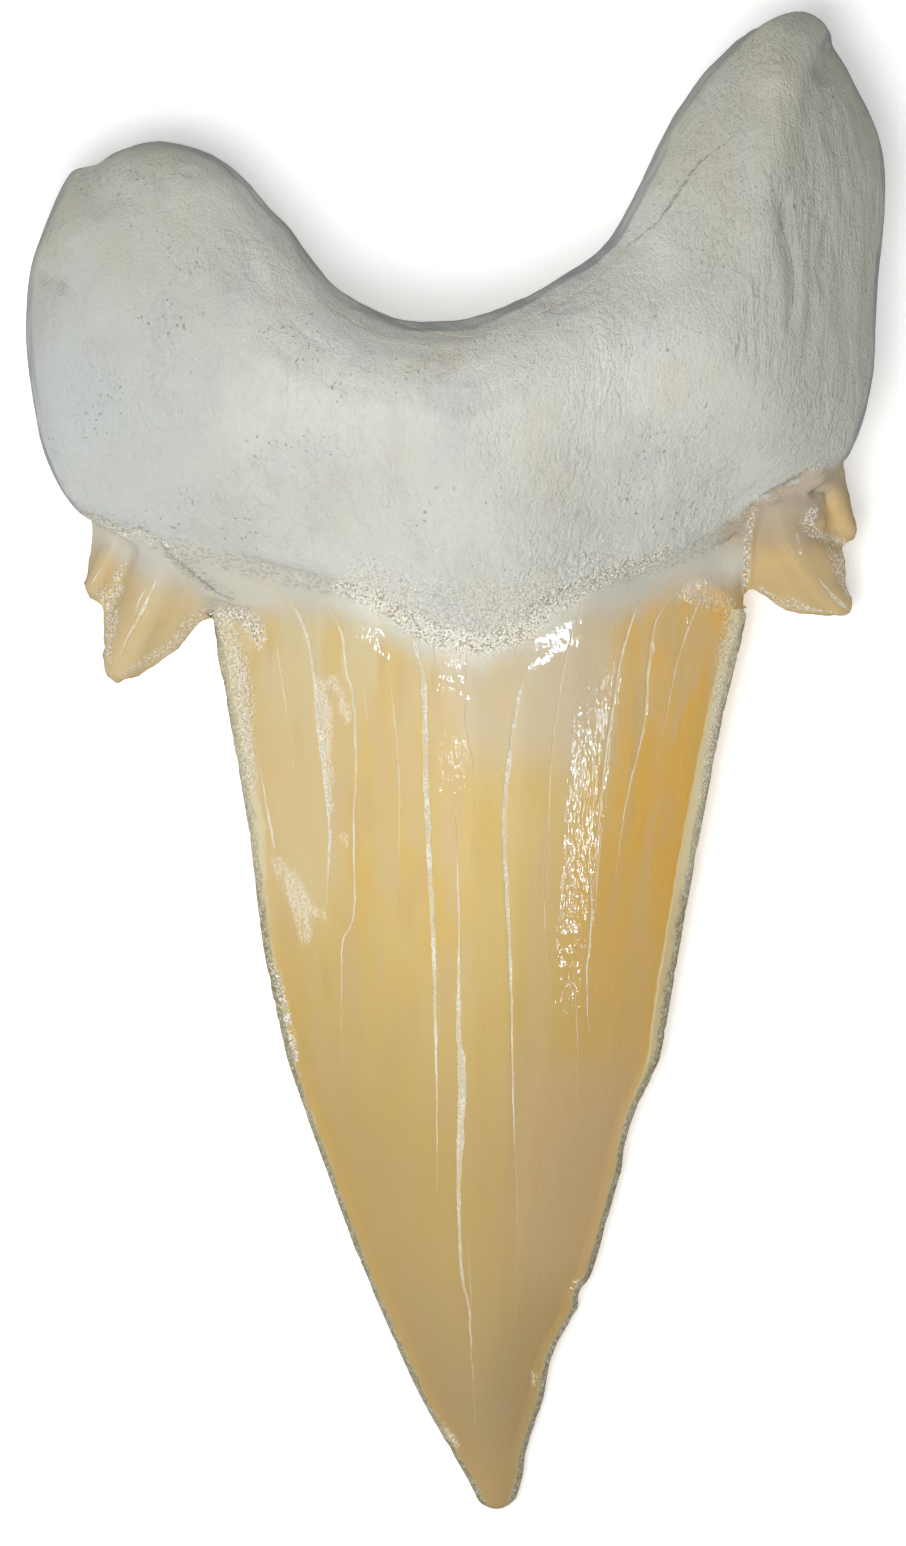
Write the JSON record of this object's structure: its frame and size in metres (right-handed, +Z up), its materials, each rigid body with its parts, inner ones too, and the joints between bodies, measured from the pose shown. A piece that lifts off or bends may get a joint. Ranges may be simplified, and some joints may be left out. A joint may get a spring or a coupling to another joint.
{
  "type": "fossil shark tooth",
  "caption": "Large fossil shark tooth with a broad notched root, a tall pointed blade and side cusplets, lying on its flat outer face.",
  "frame": {"origin": "middle of the bounding box in plan, on the surface that the tooth lies on", "axes": "+Z up, out of the convex inner face; +Y from the point of the blade towards the root lobes; +X to the right as the inner face is looked at with the point down"},
  "size_m": [0.0518, 0.0899, 0.0172],
  "materials": {
    "fossil_tooth": "chalky root, glossy cream to amber enamel"
  },
  "bodies": {
    "root": {"tooth": "fossil_tooth"}
  },
  "joints": []
}
